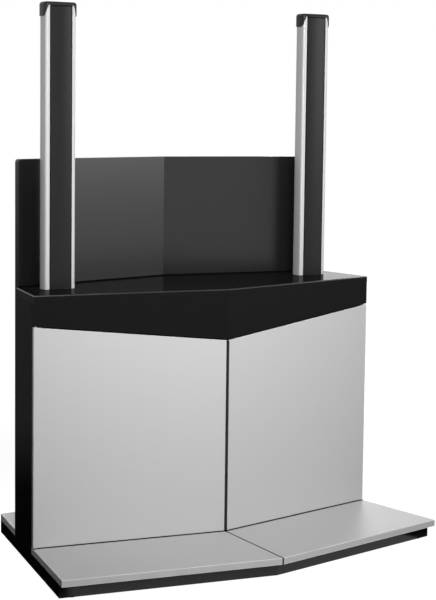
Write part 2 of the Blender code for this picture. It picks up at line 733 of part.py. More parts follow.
def column_cap(label, centre):
    """End cap: a round-edged lid whose skirt is short in front and hangs down at the sides and behind."""
    front_y = centre[1] - COLUMN_DEPTH / 2
    rear_y = centre[1] + COLUMN_DEPTH / 2
    room = GAP + CAP_WALL
    bottom = SUMMIT - CAP_REAR_DROP
    edge_radius = min(CAP_EDGE_RADIUS, COLUMN_FRONT_CORNER + CAP_WALL)

    def ring(grow, level):
        half = column_half(grow)
        face = crowned(half[0][0], half[0][1], CAP_CROWN, 5)
        return [(x, y, level) for x, y in about(centre, face[:-1] + half)]

    rings = [ring(room, bottom - OVERRUN)]
    for reach, rise in arc((-edge_radius, -edge_radius), edge_radius, 0.0, pi / 2, 4):
        rings.append(ring(room + reach, SUMMIT + rise))
    cap = add("column_cap_" + label, loft(*rings), BLACK_PLASTIC, smooth=True)
    combine(cap, loft(ring(GAP, bottom - 2 * OVERRUN), ring(GAP, SUMMIT - CAP_TOP)))
    sweep = room + CAP_TONGUE_SWEEP
    fall = CAP_REAR_DROP - CAP_FRONT_DROP
    skirt = [(front_y - COLUMN_DEPTH, SUMMIT - CAP_FRONT_DROP)]
    for c, s in arc((0.0, 0.0), 1.0, 0.0, pi / 2, 8):
        skirt.append((front_y - room + sweep * (1 - c), SUMMIT - CAP_FRONT_DROP - fall * s))
    hub = (rear_y + room - CAP_REAR_CORNER, bottom + CAP_REAR_CORNER)
    skirt += arc(hub, CAP_REAR_CORNER, -pi / 2, 0.0, 4)
    skirt.append((rear_y + COLUMN_DEPTH, bottom + CAP_REAR_CORNER))
    low = bottom - COLUMN_DEPTH
    profile = [(skirt[0][0], low)] + skirt + [(skirt[-1][0], low)]
    combine(cap, beam(profile, centre[0] - COLUMN_WIDTH, centre[0] + COLUMN_WIDTH))


def column_foot(label, centre):
    """Foot plate on the floor, with a spigot that stands inside the extrusion."""
    plate = rounded_box(centre, FOOT_WIDTH, FOOT_DEPTH, FOOT_CORNER, 4)
    low = FLOOR + GAP
    foot = add("column_foot_" + label, slab(plate, low, low + FOOT_THICKNESS), STEEL)
    spigot = about(centre, column_chamber(SPIGOT_CLEARANCE))
    combine(foot, slab(spigot, low + FOOT_THICKNESS / 2, low + FOOT_THICKNESS + SPIGOT_HEIGHT), "UNION")
    hollow = about(centre, column_chamber(SPIGOT_CLEARANCE + COLUMN_WALL))
    combine(foot, slab(hollow, low + FOOT_THICKNESS, low + FOOT_THICKNESS + 2 * SPIGOT_HEIGHT))


def build():
    for old in list(bpy.data.objects):
        bpy.data.objects.remove(old, do_unlink=True)
    frames = {}
    pivots = {}
    for label, sign in SIDES:
        frames["front", label] = empty("front_frame_" + label, (0.0, DOOR_Y, 0.0), sign * V_ANGLE)
        frames["back", label] = empty("back_frame_" + label, (0.0, FOLD_Y, 0.0), -sign * V_ANGLE)
        place = (sign * PIVOT_U, PIVOT_FROM_FRONT, 0.0)
        pivots[label] = empty("door_pivot_" + label, place, 0.0, frames["front", label])
    plinth()
    floor_glides()
    base_plates()
    carcass_floor()
    side_panels()
    partition()
    fascias(frames)
    back_panels(frames)
    cable_grommets(frames)
    top_board()
    shelves()
    doors(pivots)
    pivot_bushes(frames)
    latches()
    columns()
    bpy.context.view_layer.update()


build()
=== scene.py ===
"""Looks, light and camera for the video conference cabinet."""

from math import cos
from math import radians
from math import sin
from math import tan

import bmesh
import bpy
from mathutils import Matrix
from mathutils import Vector
from mathutils.geometry import convex_hull_2d


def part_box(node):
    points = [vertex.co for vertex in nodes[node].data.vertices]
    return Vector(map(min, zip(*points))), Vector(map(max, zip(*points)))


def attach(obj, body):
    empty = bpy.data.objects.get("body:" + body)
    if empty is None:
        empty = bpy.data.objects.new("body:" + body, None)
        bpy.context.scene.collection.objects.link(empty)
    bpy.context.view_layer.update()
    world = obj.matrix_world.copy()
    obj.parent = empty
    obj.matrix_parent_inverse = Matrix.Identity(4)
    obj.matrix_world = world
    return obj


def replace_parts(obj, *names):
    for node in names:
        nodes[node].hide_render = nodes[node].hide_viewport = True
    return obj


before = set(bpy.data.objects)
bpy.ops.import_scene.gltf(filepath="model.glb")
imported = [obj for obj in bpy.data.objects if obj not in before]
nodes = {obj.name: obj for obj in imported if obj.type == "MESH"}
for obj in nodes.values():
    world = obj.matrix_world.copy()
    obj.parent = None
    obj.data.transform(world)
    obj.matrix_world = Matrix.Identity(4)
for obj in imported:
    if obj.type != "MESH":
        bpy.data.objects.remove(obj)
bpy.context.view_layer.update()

# Camera, fitted to edges of the cabinet: place in metres, angles in degrees, focal length in pixels
CAMERA_PLACE = (-2.495, -4.1653, 1.4063)
CAMERA_YAW = 31.107
CAMERA_PITCH = -5.096
CAMERA_ROLL = 0.700
FOCAL_PIXELS = 1548.85
IMAGE_HEIGHT = 600
PRINCIPAL_ROW = 240.0
SENSOR_MM = 36.0


def make_camera():
    yaw = radians(CAMERA_YAW)
    pitch = radians(CAMERA_PITCH)
    roll = radians(CAMERA_ROLL)
    level = Vector((sin(yaw), cos(yaw), 0.0))
    right = Vector((cos(yaw), -sin(yaw), 0.0))
    ahead = level * cos(pitch) + Vector((0.0, 0.0, sin(pitch)))
    up = right.cross(ahead)
    across = right * cos(roll) + up * sin(roll)
    above = up * cos(roll) - right * sin(roll)
    data = bpy.data.cameras.new("camera")
    data.sensor_width = SENSOR_MM
    data.lens = FOCAL_PIXELS * SENSOR_MM / IMAGE_HEIGHT
    data.shift_y = (PRINCIPAL_ROW - IMAGE_HEIGHT / 2) / IMAGE_HEIGHT
    camera = bpy.data.objects.new("camera", data)
    turn = Matrix((across, above, -ahead)).transposed().to_4x4()
    camera.matrix_world = Matrix.Translation(CAMERA_PLACE) @ turn
    bpy.context.scene.collection.objects.link(camera)
    bpy.context.scene.camera = camera


# Shader nodes

def linked(tree, kind, operation, *sources):
    """Math or vector math node, fed from sockets in order."""
    node = tree.nodes.new(kind)
    node.operation = operation
    for source, socket in zip(sources, node.inputs):
        tree.links.new(source, socket)
    return node


def joined(tree, operation, *sources):
    return linked(tree, "ShaderNodeMath", operation, *sources).outputs["Value"]


def dot_with(tree, direction, axis):
    """Socket with the cosine between a direction socket and a fixed axis."""
    unit = linked(tree, "ShaderNodeVectorMath", "NORMALIZE", direction)
    product = linked(tree, "ShaderNodeVectorMath", "DOT_PRODUCT", unit.outputs["Vector"])
    product.inputs[1].default_value = axis
    return product.outputs["Value"]


def ranged(tree, value, low, high, start, end):
    """Socket with a value mapped from one range to another."""
    node = tree.nodes.new("ShaderNodeMapRange")
    for socket, number in (("From Min", low), ("From Max", high), ("To Min", start), ("To Max", end)):
        node.inputs[socket].default_value = number
    tree.links.new(value, node.inputs["Value"])
    return node.outputs["Result"]


def folded(tree, place):
    """Sockets with a place's distance from the middle plane and its y."""
    parts = tree.nodes.new("ShaderNodeSeparateXYZ")
    tree.links.new(place, parts.inputs["Vector"])
    return joined(tree, "ABSOLUTE", parts.outputs["X"]), parts.outputs["Y"]


# Materials

NOISE_MIDDLE = (0.3, 0.7)
# Reach, samples and cosines of the edges' mask, and the lighter shades that paint a highlight along the
# doors' and plates' eased edges
HIGHLIGHT_REACH = 0.0025
HIGHLIGHT_SAMPLES = 4
HIGHLIGHT_COSINES = (0.99, 0.90)
DOOR_EDGE_HIGHLIGHT = 0.66
PLATE_EDGE_HIGHLIGHT = 0.88
# Reach and colour of the painted shade on the plates beside the gap where they meet
SEAM_SHADE_REACH = (0.0024, 0.0034)
SEAM_SHADE_COLOUR = (0.03, 0.03, 0.03)
DRAWN_LINES = (1.0, 1.0, 0.01)
DRAWN_SHEEN = (1.0, 1.0, 0.02)


class Shade:
    """A Principled material with a few shorthands for its texture nodes."""

    def __init__(self, name, colour, roughness, metallic=0.0, specular=0.5):
        self.material = bpy.data.materials.new(name)
        self.material.use_nodes = True
        self.tree = self.material.node_tree
        self.shader = self.tree.nodes["Principled BSDF"]
        self.shader.inputs["Base Color"].default_value = (*colour, 1.0)
        self.shader.inputs["Roughness"].default_value = roughness
        self.shader.inputs["Metallic"].default_value = metallic
        self.shader.inputs["Specular IOR Level"].default_value = specular
        self.colour = colour
        self.roughness = roughness
        self.place = self.tree.nodes.new("ShaderNodeTexCoord").outputs["Object"]

    def node(self, kind, **values):
        made = self.tree.nodes.new(kind)
        for name, value in values.items():
            setattr(made, name, value)
        return made

    def link(self, source, target):
        self.tree.links.new(source, target)

    def noise(self, scale, detail=2.0, stretch=(1.0, 1.0, 1.0)):
        mapping = self.node("ShaderNodeMapping")
        mapping.inputs["Scale"].default_value = stretch
        texture = self.node("ShaderNodeTexNoise")
        texture.inputs["Scale"].default_value = scale
        texture.inputs["Detail"].default_value = detail
        self.link(self.place, mapping.inputs["Vector"])
        self.link(mapping.outputs["Vector"], texture.inputs["Vector"])
        return texture.outputs["Fac"]

    def spread(self, value, low, high):
        """Map the middle of a noise to a range."""
        return ranged(self.tree, value, *NOISE_MIDDLE, low, high)

    def mix(self, factor):
        """Mix node that the base colour comes from."""
        made = self.node("ShaderNodeMix", data_type="RGBA")
        self.link(factor, made.inputs["Factor"])
        self.link(made.outputs["Result"], self.shader.inputs["Base Color"])
        return made

    def tint(self, value, share):
        """Vary the base colour by a share, up and down."""
        mix = self.mix(self.spread(value, 0.0, 1.0))
        mix.inputs["A"].default_value = (*[c * (1 - share) for c in self.colour], 1.0)
        mix.inputs["B"].default_value = (*[c * (1 + share) for c in self.colour], 1.0)

    def cover(self, mask, colour):
        """Lay a colour over the tinted base where the mask is 1."""
        base = self.shader.inputs["Base Color"].links[0].from_socket
        mix = self.mix(mask)
        self.link(base, mix.inputs["A"])
        mix.inputs["B"].default_value = (*colour, 1.0)

    def edges(self):
        """Mask for a painted highlight: 1 along the edges, where a rounded normal leaves the face's own.
        """
        rounded = self.node("ShaderNodeBevel", samples=HIGHLIGHT_SAMPLES)
        rounded.inputs["Radius"].default_value = HIGHLIGHT_REACH
        normals = (rounded.outputs["Normal"], self.node("ShaderNodeNewGeometry").outputs["True Normal"])
        product = linked(self.tree, "ShaderNodeVectorMath", "DOT_PRODUCT", *normals)
        return ranged(self.tree, product.outputs["Value"], *HIGHLIGHT_COSINES, 0.0, 1.0)

    def seam(self):
        """Mask for painted shade: 1 close to the middle plane, where the two plates meet."""
        aside, _ = folded(self.tree, self.place)
        return ranged(self.tree, aside, *SEAM_SHADE_REACH, 1.0, 0.0)

    def polish(self, value, change):
        """Vary the roughness, up and down."""
        varied = self.spread(value, self.roughness - change, self.roughness + change)
        self.link(varied, self.shader.inputs["Roughness"])

    def bump(self, value, strength, depth):
        bump = self.node("ShaderNodeBump")
        bump.inputs["Strength"].default_value = strength
        bump.inputs["Distance"].default_value = depth
        self.link(value, bump.inputs["Height"])
        self.link(bump.outputs["Normal"], self.shader.inputs["Normal"])


def surface(name, colour, roughness, tint, polish, bump, **gloss):
    """Material with three noises.

    tint: noise scale, detail, share of the colour; polish: noise scale, change of the roughness;
    bump: noise scale, detail, strength, depth in metres.
    """
    shade = Shade(name, colour, roughness, **gloss)
    shade.tint(shade.noise(*tint[:2]), tint[2])
    shade.polish(shade.noise(polish[0]), polish[1])
    shade.bump(shade.noise(*bump[:2]), *bump[2:])
    return shade


def silver_lacquer(name, edge):
    shade = surface(name, (0.44, 0.44, 0.445), 0.45, specular=0.12, tint=(900.0, 3.0, 0.05),
                    polish=(260.0, 0.04), bump=(700.0, 2.0, 0.05, 0.0002))
    # Painted highlight: a lighter colour along the eased edges, where they would catch the light
    shade.cover(shade.edges(), (edge, edge, edge))
    return shade


def door_lacquer():
    return silver_lacquer("door_lacquer", DOOR_EDGE_HIGHLIGHT)


def plate_lacquer():
    shade = silver_lacquer("plate_lacquer", PLATE_EDGE_HIGHLIGHT)
    # Painted shade: a dark colour on the plates close to the gap where they meet
    shade.cover(shade.seam(), SEAM_SHADE_COLOUR)
    return shade


def black_satin():
    return surface("black_satin", (0.0045, 0.0045, 0.005), 0.48, specular=0.05, tint=(500.0, 3.0, 0.12),
                   polish=(120.0, 0.05), bump=(1400.0, 2.0, 0.12, 0.0002))


def black_side():
    return surface("black_side", (0.006, 0.006, 0.0065), 0.24, specular=0.05, tint=(500.0, 3.0, 0.12),
                   polish=(120.0, 0.02), bump=(1400.0, 2.0, 0.01, 0.0002))


def black_gloss():
    return surface("black_gloss", (0.007, 0.007, 0.0072), 0.17, specular=0.0009, tint=(300.0, 2.0, 0.08),
                   polish=(60.0, 0.015), bump=(90.0, 2.0, 0.006, 0.0002))


def black_back():
    return surface("black_back", (0.006, 0.006, 0.0062), 0.26, specular=0.42, tint=(300.0, 2.0, 0.08),
                   polish=(60.0, 0.01), bump=(90.0, 2.0, 0.006, 0.0002))


def black_matt():
    return surface("black_matt", (0.030, 0.030, 0.031), 0.60, specular=0.001, tint=(400.0, 3.0, 0.15),
                   polish=(90.0, 0.05), bump=(900.0, 3.0, 0.15, 0.0003))


def black_laminate():
    return surface("black_laminate", (0.010, 0.010, 0.0105), 0.13, specular=0.28, tint=(400.0, 3.0, 0.12),
                   polish=(90.0, 0.03), bump=(900.0, 3.0, 0.012, 0.0002))


def anodised():
    """Aluminium with fine lines along the columns, from the extrusion's die."""
    shade = Shade("anodised_aluminium", (0.43, 0.43, 0.435), 0.46, metallic=0.35)
    lines = shade.noise(1500.0, stretch=DRAWN_LINES)
    shade.tint(lines, 0.04)
    shade.polish(shade.noise(400.0, stretch=DRAWN_SHEEN), 0.04)
    shade.bump(lines, 0.05, 0.0001)
    return shade


def black_plastic():
    return surface("black_plastic", (0.010, 0.010, 0.0105), 0.36, specular=0.18, tint=(600.0, 2.0, 0.08),
                   polish=(200.0, 0.04), bump=(1800.0, 2.0, 0.12, 0.0002))


def cover_satin():
    return surface("cover_satin", (0.010, 0.010, 0.0105), 0.32, specular=0.14, tint=(600.0, 2.0, 0.08),
                   polish=(200.0, 0.04), bump=(1800.0, 2.0, 0.08, 0.0001))


def plated_steel():
    return surface("plated_steel", (0.55, 0.55, 0.56), 0.32, metallic=1.0, tint=(350.0, 4.0, 0.08),
                   polish=(500.0, 0.06), bump=(1600.0, 2.0, 0.05, 0.0001))


def nylon():
    return surface("nylon", (0.60, 0.59, 0.56), 0.45, tint=(500.0, 2.0, 0.05),
                   polish=(300.0, 0.05), bump=(1500.0, 2.0, 0.06, 0.0001))


def dark_nylon():
    return surface("dark_nylon", (0.045, 0.045, 0.046), 0.50, tint=(500.0, 2.0, 0.08),
                   polish=(300.0, 0.05), bump=(1500.0, 2.0, 0.08, 0.0001))


def edge_gloss():
    return surface("edge_gloss", (0.006, 0.006, 0.0062), 0.34, specular=0.32, tint=(300.0, 2.0, 0.08),
                   polish=(120.0, 0.03), bump=(900.0, 2.0, 0.03, 0.0001))


# Near-black without gloss, for the strips that paint shade in gaps and joints
def painted_shade_black():
    return surface("painted_shade_black", (0.002, 0.002, 0.002), 0.80, specular=0.0005, tint=(700.0, 2.0, 0.20),
                   polish=(300.0, 0.06), bump=(1200.0, 2.0, 0.15, 0.0002))


# Dark fibrous look for the strips that paint the shade under the doors
def shadow_felt():
    return surface("shadow_felt", (0.010, 0.010, 0.010), 0.95, specular=0.001, tint=(1500.0, 4.0, 0.30),
                   polish=(900.0, 0.04), bump=(2500.0, 4.0, 0.40, 0.0003))


def black_oxide():
    return surface("black_oxide", (0.035, 0.035, 0.037), 0.38, metallic=0.9, tint=(900.0, 2.0, 0.15),
                   polish=(500.0, 0.06), bump=(1600.0, 2.0, 0.05, 0.0001))


def rubber():
    return surface("rubber", (0.028, 0.028, 0.028), 0.75, tint=(700.0, 2.0, 0.10),
                   polish=(300.0, 0.06), bump=(1200.0, 2.0, 0.15, 0.0002))


LOOKS = (
    (plate_lacquer, ("base_plate",)),
    (door_lacquer, ("door_left", "door_right")),
    (black_gloss, ("top_board",)),
    (black_back, ("back_panel",)),
    (black_satin, ("fascia",)),
    (black_side, ("side_panel",)),
    (black_laminate, ("plinth",)),
    (black_matt, ("carcass_floor", "partition", "shelf")),
    (cover_satin, ("column_cover",)),
    (black_plastic, ("column_cap", "cable_grommet", "latch_housing")),
    (plated_steel, ("column_foot", "pivot_pin", "door_striker")),
    (nylon, ("pivot_bush",)),
    (dark_nylon, ("latch_plunger", "floor_glide")),
    (rubber, ("door_bumper",)),
    (anodised, ("column_left", "column_right")),
)
finishes = {}


def finish(make):
    """Material that a function makes, shared by all that ask for it."""
    if make not in finishes:
        finishes[make] = make().material
    return finishes[make]


def dress_nodes():
    for make, prefixes in LOOKS:
        for name, piece in nodes.items():
            if name.startswith(prefixes):
                piece.data.materials.clear()
                piece.data.materials.append(finish(make))


# Fine pieces, placed by the boards that carry them, in metres

V_ANGLE = radians(10.0)
SIDES = (("left", -1), ("right", 1))
SMOOTH_ANGLE = radians(40.0)
ROUND_STEPS = 6
EASE_STEPS = 2
FILM = 0.0001
BAND = 0.0004
TOP_ROUNDING = 0.003
# Size of the dark strip that paints shade where the top board meets the back panels
JOINT_SHADOW_SIZE = 0.0038
# Sizes of the dark strips that paint shade under the fascias and at the doors' feet
SHADOW_STRIP_THICKNESS = 0.0018
SHADOW_STRIP_LIP = 0.003
SHADOW_STRIP_MIDDLE = 0.002
END_ZONE = 0.003
EASED = 0.001
BUSH_ROOM = 0.017
BUSH_FRONT = 0.0007
HEAD_SET_BACK = 0.0012
HEAD_WIDTH = 0.006
HEAD_DEPTH = 0.003
HEAD_ROOM = 0.026


def plan(sign, turn, reach, depth):
    """Plan point from its reach along a board's line through the origin and its depth behind that line."""
    x = reach * cos(turn) - depth * sin(turn)
    return (sign * x, reach * sin(turn) + depth * cos(turn))


def extent(name, sign, turn, end=None):
    """Ranges of a node's reach, depth and height along a board's line, or of its min or max end."""
    rows = []
    for vertex in nodes[name].data.vertices:
        x, y, z = vertex.co
        reach = sign * x * cos(turn) + y * sin(turn)
        rows.append((reach, y * cos(turn) - sign * x * sin(turn), z))
    if end is not None:
        limit = end(row[0] for row in rows)
        rows = [row for row in rows if abs(row[0] - limit) < END_ZONE]
    return [(min(column), max(column)) for column in zip(*rows)]


def quarter(steps):
    """Angles of a quarter turn in even steps."""
    return [radians(90.0) * i / steps for i in range(steps + 1)]


def right_normals(starts, ends):
    """Unit normals to the right of runs in plan."""
    normals = []
    for start, end in zip(starts, ends):
        run = (end - start).normalized()
        normals.append(Vector((run.y, -run.x)))
    return normals


def mitre(before, after):
    """Shift of a corner for each unit that its two sides move along their normals."""
    return (before + after) / (1.0 + before.dot(after))


def add_piece(name, bm, material, smooth=False, body="cabinet"):
    bmesh.ops.recalc_face_normals(bm, faces=bm.faces)
    mesh = bpy.data.meshes.new(name)
    bm.to_mesh(mesh)
    bm.free()
    mesh.materials.append(material)
    if smooth:
        mesh.shade_smooth()
        mesh.set_sharp_from_angle(angle=SMOOTH_ANGLE)
    piece = bpy.data.objects.new(name, mesh)
    bpy.context.scene.collection.objects.link(piece)
    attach(piece, body)
    return piece


def skin(bm, rings):
    """Closed solid through rings of as many points, capped at both ends."""
    loops = [[bm.verts.new(point) for point in ring] for ring in rings]
    for low, high in zip(loops, loops[1:]):
        for i in range(len(low)):
            j = (i + 1) % len(low)
            bm.faces.new((low[i], low[j], high[j], high[i]))
    bm.faces.new(loops[0])
    bm.faces.new(loops[-1])
    return bm


def swept(path, profile):
    """Solid along a plan path with mitred corners. The profile is (offset to the right, height) points."""
    points = [Vector(point) for point in path]
    normals = right_normals(points, points[1:])
    rings = []
    for point, before, after in zip(points, normals[:1] + normals, normals + normals[-1:]):
        shift = mitre(before, after)
        rings.append([(*(point + shift * offset), height) for offset, height in profile])
    return skin(bmesh.new(), rings)


def top_edge(face, gloss):
    """Band round the top board's sides and front, and a glossier bead over its rounded upper edge."""
    board = nodes["top_board"].data
    low = min(vertex.co.z for vertex in board.vertices)
    top = max(vertex.co.z for vertex in board.vertices)
    foot = [vertex.co.xy for vertex in board.vertices if vertex.co.z < low + FILM]
    outline = [foot[i] for i in convex_hull_2d(foot)]
    fold = max(range(len(outline)), key=lambda i: outline[i].y)
    path = outline[fold + 1:] + outline[:fold]
    shoulder = top - TOP_ROUNDING
    flat = [(BAND, low + FILM), (BAND, shoulder), (FILM, shoulder), (FILM, low + FILM)]
    thin = TOP_ROUNDING + FILM / 2
    outer = []
    inner = []
    for i, angle in enumerate(quarter(ROUND_STEPS)):
        thick = TOP_ROUNDING + BAND + (FILM - BAND) * i / ROUND_STEPS / 2
        outer.append((thick * cos(angle) - TOP_ROUNDING, shoulder + thick * sin(angle)))
        inner.append((thin * cos(angle) - TOP_ROUNDING, shoulder + thin * sin(angle)))
    add_piece("top_edge_band", swept(path, flat), face)
    add_piece("top_edge_bead", swept(path, outer + inner[::-1]), gloss, smooth=True)


def joint_shadow_strips(material):
    """Dark quarter-round strip where the top board meets each back panel, painted shade in that joint."""
    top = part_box("top_board")[1][2]
    profile = [(0.0, 0.0)] + [(JOINT_SHADOW_SIZE * sin(angle), JOINT_SHADOW_SIZE * cos(angle)) for angle in quarter(ROUND_STEPS)]
    for label, sign in SIDES:
        (_, end), (front, _), _ = extent("back_panel_" + label, sign, -V_ANGLE)
        side = extent("side_panel_" + label, sign, -V_ANGLE)[0][1]
        rings = []
        for mitred in (True, False):
            ring = []
            for out, up in profile:
                depth = front - FILM - out
                reach = FILM - depth * tan(V_ANGLE) if mitred else min(end, side)
                ring.append((*plan(sign, -V_ANGLE, reach, depth), top + FILM + up))
            rings.append(ring)
        add_piece("joint_shadow_strip_" + label, skin(bmesh.new(), rings), material, smooth=True)


def end_bands(material):
    """Thin chamfered edge band on each fascia's outer end."""
    for label, sign in SIDES:
        reaches, (front, rear), (low, high) = extent("fascia_" + label, sign, V_ANGLE, max)
        rings = []
        for rise, inset in ((FILM, EASED), (BAND / 2, EASED), (BAND, EASED + BAND)):
            corners = ((front + inset, low + inset), (rear - inset, low + inset),
                       (rear - inset, high - inset), (front + inset, high - inset))
            reach = max(reaches) + rise
            rings.append([(*plan(sign, V_ANGLE, reach, depth), height) for depth, height in corners])
        add_piece("fascia_end_band_" + label, skin(bmesh.new(), rings), material)


def door_gap_shadow_strips(material):
    """Dark rubber strip on the edges where the doors meet, wrapped round their eased front corners:
    painted shade that widens the gap between the doors.
    """
    for label, sign in SIDES:
        body = "door_" + label
        reaches, (front, rear), (low, high) = extent(body, sign, V_ANGLE, min)
        hub = min(reaches) + EASED
        lines = []
        for radius in (EASED + FILM, EASED + BAND):
            line = [(hub - radius, rear - EASED)]
            for angle in quarter(EASE_STEPS):
                line.append((hub - radius * cos(angle), front + EASED - radius * sin(angle)))
            lines.append(line)
        section = lines[0] + lines[1][::-1]
        rings = []
        for level in (low + EASED, high - 2 * EASED):
            rings.append([(*plan(sign, V_ANGLE, *point), level) for point in section])
        add_piece("door_gap_shadow_strip_" + label, skin(bmesh.new(), rings), material, body=body)


def head_shadow_strips(material):
    """Dark strip in the gap under each fascia, painted shade in that gap, ended where the turning door
    needs room.
    """
    for label, sign in SIDES:
        node = "fascia_" + label
        front = extent(node, sign, V_ANGLE)[1][0]
        inner, _, (inner_low, _) = extent(node, sign, V_ANGLE, min)
        outer, _, (outer_low, _) = extent(node, sign, V_ANGLE, max)
        slope = (outer_low - inner_low) / (outer[1] - inner[0])
        near = front + HEAD_SET_BACK
        far = near + HEAD_WIDTH
        rings = []
        for mitred in (True, False):
            ring = []
            for depth, drop in ((near, HEAD_DEPTH), (near, FILM), (far, FILM), (far, HEAD_DEPTH)):
                reach = SHADOW_STRIP_MIDDLE + depth * tan(V_ANGLE) if mitred else outer[1] - HEAD_ROOM
                height = inner_low + slope * (reach - inner[0]) - drop
                ring.append((*plan(sign, V_ANGLE, reach, depth), height))
            rings.append(ring)
        add_piece("head_shadow_strip_" + label, skin(bmesh.new(), rings), material)


def door_foot_shadow_strips(material):
    """Dark strip on the base plate under each door, painted shade in the gap below it, narrowed in front
    of the pivot's bush.
    """
    for label, sign in SIDES:
        (_, end), (front, rear), _ = extent("door_" + label, sign, V_ANGLE)
        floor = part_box("base_plate_front_" + label)[1][2]
        lip = front - SHADOW_STRIP_LIP
        narrow = front + BUSH_FRONT
        inner = end - BUSH_ROOM
        outline = [(SHADOW_STRIP_MIDDLE + lip * tan(V_ANGLE), lip), (end, lip), (end, narrow), (inner, narrow),
                   (inner, rear), (SHADOW_STRIP_MIDDLE + rear * tan(V_ANGLE), rear)]
        rings = []
        for height in (FILM, SHADOW_STRIP_THICKNESS):
            rings.append([(*plan(sign, V_ANGLE, *point), floor + height) for point in outline])
        add_piece("door_foot_shadow_strip_" + label, skin(bmesh.new(), rings), material)


# Column caps, and the dark strips that paint shade round the covers, in metres. The strip's width is a
# share of the cover's half width

CAP_ROOM = 0.003
CAP_WALL = 0.0026
CAP_ROOF = 0.0029
CAP_LIP = 0.0105
CAP_SWEEP = 0.015
CAP_HEEL = 0.006
CAP_ROUNDING = 0.0095
CAP_STEP = 0.0015
# Share and height of the dark strips that paint shade round the covers
COVER_SHADOW_SHARE = 0.08
COVER_SHADOW_HEAD = 0.0038
CROWN_STEPS = 10


def shifted(outline):
    """Closed outline that starts at its second point."""
    return outline[1:] + outline[:1]


def divided(outline, step):
    """Closed outline with its sides cut into short runs."""
    points = []
    for start, end in zip(outline, shifted(outline)):
        count = round((end - start).length / step)
        points += [start.lerp(end, i / count) for i in range(count)]
    return points


def drawn_in(outline, depth):
    """Closed outline moved inwards by a depth, with mitred corners."""
    normals = right_normals(outline, shifted(outline))
    return [point - mitre(normals[i - 1], normals[i]) * depth for i, point in enumerate(outline)]


def skirt_drop(depth, from_rear, tail):
    """Drop of a cap's skirt below its top: a thin lid in front, swept down to the tail, rounded behind."""
    ahead = 1.0 - min(max(depth / CAP_SWEEP, 0.0), 1.0)
    drop = CAP_LIP + (tail - CAP_LIP) * (1.0 - ahead ** 2) ** 0.5
    heel = min(max(CAP_HEEL - from_rear, 0.0), CAP_HEEL)
    return drop - CAP_HEEL + (CAP_HEEL ** 2 - heel ** 2) ** 0.5


def column_caps(material):
    """Thin round-edged lid on each column, with a skirt of even wall at its sides and rear."""
    for label, _ in SIDES:
        node = "column_cap_" + label
        low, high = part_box(node)
        top = high[2]
        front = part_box("column_" + label)[0][1] - CAP_ROOM
        marks = [vertex.co.xy for vertex in nodes[node].data.vertices]
        outline = divided([marks[i] for i in convex_hull_2d(marks)], CAP_STEP)
        inside = drawn_in(outline, CAP_WALL)
        hem = [top - skirt_drop(point.y - front, high[1] - point.y, top - low[2]) for point in outline]
        rings = [[(*point, top - CAP_ROOF) for point in inside]]
        for edge in (inside, outline):
            rings.append([(*point, level) for point, level in zip(edge, hem)])
        for angle in quarter(ROUND_STEPS):
            level = top - CAP_ROUNDING * (1.0 - sin(angle))
            edge = drawn_in(outline, CAP_ROUNDING * (1.0 - cos(angle)))
            rings.append([(*point, level) for point in edge])
        cap = skin(bmesh.new(), rings)
        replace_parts(add_piece("cap_shell_" + label, cap, material, smooth=True), node)


def crown_strip(bm, cover, edge, span, levels):
    """Thin strip on a cover's crowned face, over a span of shares of its half width."""
    low, high = cover
    middle = (low[0] + high[0]) / 2
    half = (high[0] - low[0]) / 2
    inner = []
    outer = []
    for i in range(CROWN_STEPS + 1):
        share = span[0] + (span[1] - span[0]) * i / CROWN_STEPS
        face = edge - (edge - low[1]) * (1.0 - share ** 2)
        inner.append((middle + half * share, face - FILM))
        outer.append((middle + half * share, face - BAND))
    section = inner + outer[::-1]
    skin(bm, [[(x, y, level) for x, y in section] for level in levels])


def cover_shadow_strips(material):
    """Dark strips of painted shade round each column's cover: up both edges and across under the cap."""
    for label, _ in SIDES:
        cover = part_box("column_cover_" + label)
        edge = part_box("column_" + label)[0][1]
        foot = cover[0][2] + FILM
        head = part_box("column_cap_" + label)[1][2] - CAP_LIP - FILM
        inner = 1.0 - COVER_SHADOW_SHARE
        bm = bmesh.new()
        for span in ((-1.0, -inner), (inner, 1.0)):
            crown_strip(bm, cover, edge, span, (foot, head))
        across = inner - FILM / COVER_SHADOW_SHARE
        crown_strip(bm, cover, edge, (-across, across), (head - COVER_SHADOW_HEAD, head))
        add_piece("cover_shadow_strip_" + label, bm, material, smooth=True)


# Screw heads. Sizes are radius and height, and profiles are shares of them. Rows are shares of a length

HEAD_POINTS = 24
DOME = ((1.0, 0.0), (1.0, 0.35), (0.93, 0.70), (0.80, 0.92), (0.62, 1.0))
SOCKET = ((0.52, 1.0), (0.50, 0.40))
CROSS_CORE = 0.42
BOLT = (0.0065, 0.0045)
BOLT_INSET = 0.010
LATCH_SCREW = (0.0032, 0.0014)
LATCH_SCREW_INSET = 0.009
BACK_SCREW = (0.0042, 0.0008)
BACK_SCREW_INSET = 0.011
ROW_UP = (0.14, 0.38, 0.62, 0.86)
ROW_ALONG = (0.12, 0.36, 0.60, 0.84)


def hexagon(angle):
    sector = radians(60.0)
    return cos(sector / 2) / cos(angle % sector - sector / 2)


def cross(angle):
    return CROSS_CORE + (1.0 - CROSS_CORE) * abs(cos(2 * angle)) ** 3


def screw_head(bm, place, axis, size, recess):
    """Domed screw head with a recess, standing on a face along its axis."""
    radius, height = size
    turn = Vector(axis).to_track_quat("Z", "Y").to_matrix()
    angles = [radians(360.0) * i / HEAD_POINTS for i in range(HEAD_POINTS)]
    rings = [[(share, angle, level) for angle in angles] for share, level in DOME]
    rings += [[(share * recess(angle), angle, level) for angle in angles] for share, level in SOCKET]
    spot = Vector(place)
    solid = []
    for ring in rings:
        solid.append([spot + turn @ Vector((radius * r * cos(a), radius * r * sin(a), height * h))
                      for r, a, h in ring])
    skin(bm, solid)


